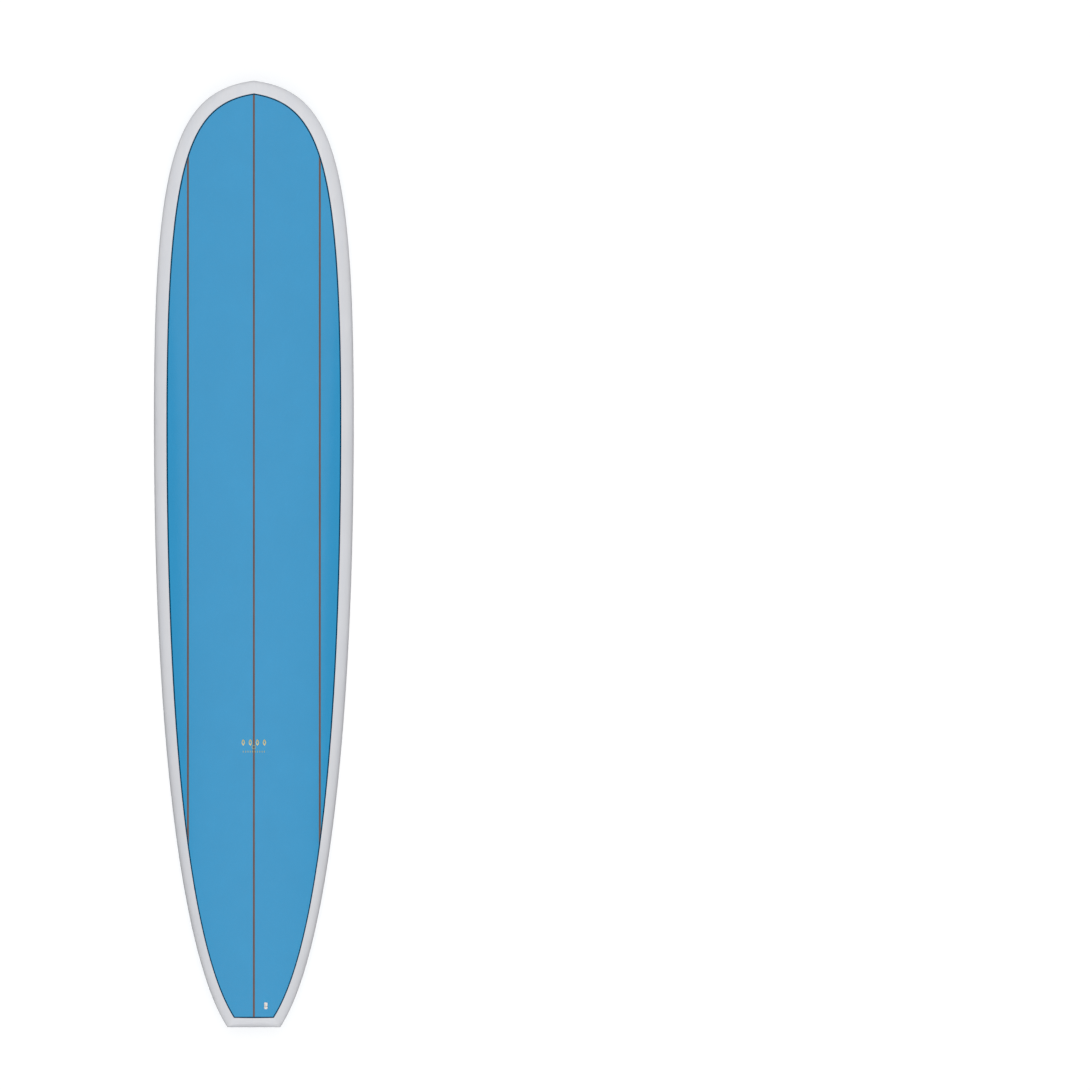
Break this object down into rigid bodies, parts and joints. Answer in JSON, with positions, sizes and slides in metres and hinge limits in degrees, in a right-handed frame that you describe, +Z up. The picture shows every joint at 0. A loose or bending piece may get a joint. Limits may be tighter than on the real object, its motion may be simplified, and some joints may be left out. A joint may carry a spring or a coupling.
{
  "type": "surfboard",
  "caption": "Longboard surfboard with foam core, wooden stringers, blue deck and bottom panels, white rails, a long centre fin box, side fin boxes with set screws, and a leash plug.",
  "frame": {"origin": "on the centreline at mid length, at the lowest point of the bottom", "axes": "+Y towards the nose, +Z up through the deck, +X to the right of a rider facing the nose"},
  "size_m": [0.585, 2.77, 0.1218],
  "materials": {
    "foam": "rigid closed-cell foam, off-white",
    "stringer_wood": "straight-grained timber, brown",
    "laminate": "woven glass cloth set in clear resin",
    "panel_blue": "blue tinted resin, sanded and polished",
    "pinline_teal": "dark teal resin line",
    "rail_white": "off-white resin, polished",
    "resin_bed": "resin with chopped fibre, off-white",
    "centre_box_grey": "moulded plastic, grey",
    "side_box_grey": "moulded plastic, warm grey",
    "screw_steel": "stainless steel",
    "plug_white": "moulded plastic, warm white",
    "bar_steel": "stainless steel"
  },
  "bodies": {
    "board": {"foam_core_left_outer": "foam", "foam_core_left_inner": "foam", "foam_core_right_inner": "foam", "foam_core_right_outer": "foam", "centre_stringer": "stringer_wood", "left_stringer": "stringer_wood", "right_stringer": "stringer_wood", "deck_laminate": "laminate", "bottom_laminate": "laminate", "deck_panel": "panel_blue", "deck_pinline": "pinline_teal", "rail_band": "rail_white", "bottom_pinline": "pinline_teal", "bottom_panel": "panel_blue", "centre_fin_box": "centre_box_grey", "centre_box_bed": "resin_bed", "left_fin_box": "side_box_grey", "left_box_bed": "resin_bed", "right_fin_box": "side_box_grey", "right_box_bed": "resin_bed", "leash_plug_cup": "plug_white", "leash_plug_bar": "bar_steel", "leash_plug_bed": "resin_bed"},
    "left_screw": {"left_fin_screw": "screw_steel"},
    "right_screw": {"right_fin_screw": "screw_steel"}
  },
  "joints": [
    {"name": "left_screw_travel", "type": "slide", "parent": "board", "child": "left_screw", "axis": [-0.0095, 0.4245, -0.9054], "range_m": [-0.0045, 0.001]},
    {"name": "right_screw_travel", "type": "slide", "parent": "board", "child": "right_screw", "axis": [0.0095, 0.4245, -0.9054], "range_m": [-0.0045, 0.001]}
  ]
}
